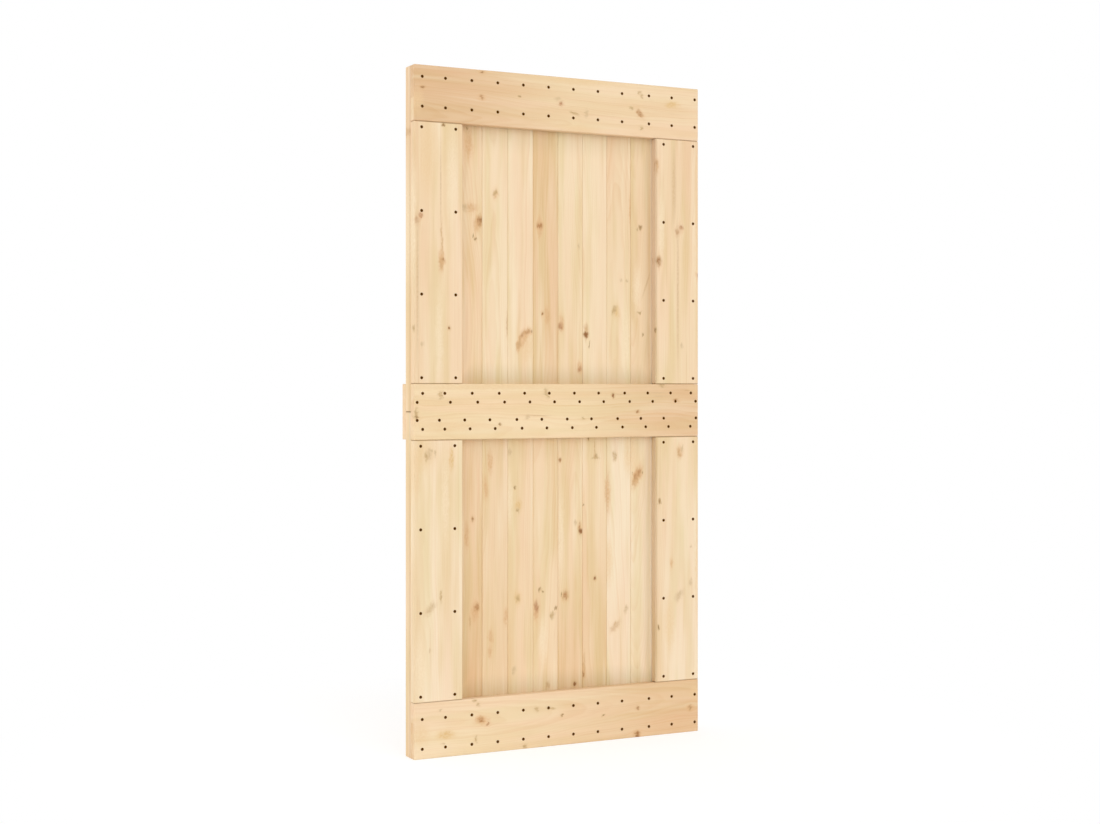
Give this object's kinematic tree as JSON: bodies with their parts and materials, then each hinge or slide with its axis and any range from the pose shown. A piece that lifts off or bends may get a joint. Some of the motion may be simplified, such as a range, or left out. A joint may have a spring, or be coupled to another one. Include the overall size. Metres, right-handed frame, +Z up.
{
  "type": "barn door",
  "caption": "Solid pine barn door leaf: upright tongue-and-groove planks behind a face frame of rails and stiles, with dark countersunk screws and a rail across the back.",
  "frame": {"origin": "on the floor plane under the middle of the door, half way through its thickness", "axes": "+Z up the door, +X to the right as seen from the front, front towards -Y"},
  "size_m": [1, 0.094, 2.1],
  "materials": {
    "frame_pine": "planed, unfinished pale pine with knots",
    "plank_pine": "planed, unfinished pale pine with knots",
    "screw_metal": "dark brown-black coated steel"
  },
  "bodies": {
    "root": {"top_rail": "frame_pine", "mid_rail_front": "frame_pine", "mid_rail_back": "frame_pine", "bottom_rail": "frame_pine", "stile_upper_left": "frame_pine", "stile_upper_right": "frame_pine", "stile_lower_left": "frame_pine", "stile_lower_right": "frame_pine", "plank_upper_01": "plank_pine", "plank_upper_02": "plank_pine", "plank_upper_03": "plank_pine", "plank_upper_04": "plank_pine", "plank_upper_05": "plank_pine", "plank_upper_06": "plank_pine", "plank_upper_07": "plank_pine", "plank_upper_08": "plank_pine", "plank_upper_09": "plank_pine", "plank_upper_10": "plank_pine", "plank_upper_11": "plank_pine", "plank_upper_12": "plank_pine", "plank_lower_01": "plank_pine", "plank_lower_02": "plank_pine", "plank_lower_03": "plank_pine", "plank_lower_04": "plank_pine", "plank_lower_05": "plank_pine", "plank_lower_06": "plank_pine", "plank_lower_07": "plank_pine", "plank_lower_08": "plank_pine", "plank_lower_09": "plank_pine", "plank_lower_10": "plank_pine", "plank_lower_11": "plank_pine", "plank_lower_12": "plank_pine", "top_rail_screws": "screw_metal", "mid_rail_screws": "screw_metal", "bottom_rail_screws": "screw_metal", "stile_upper_left_screws": "screw_metal", "stile_upper_right_screws": "screw_metal", "stile_lower_left_screws": "screw_metal", "stile_lower_right_screws": "screw_metal"}
  },
  "joints": []
}
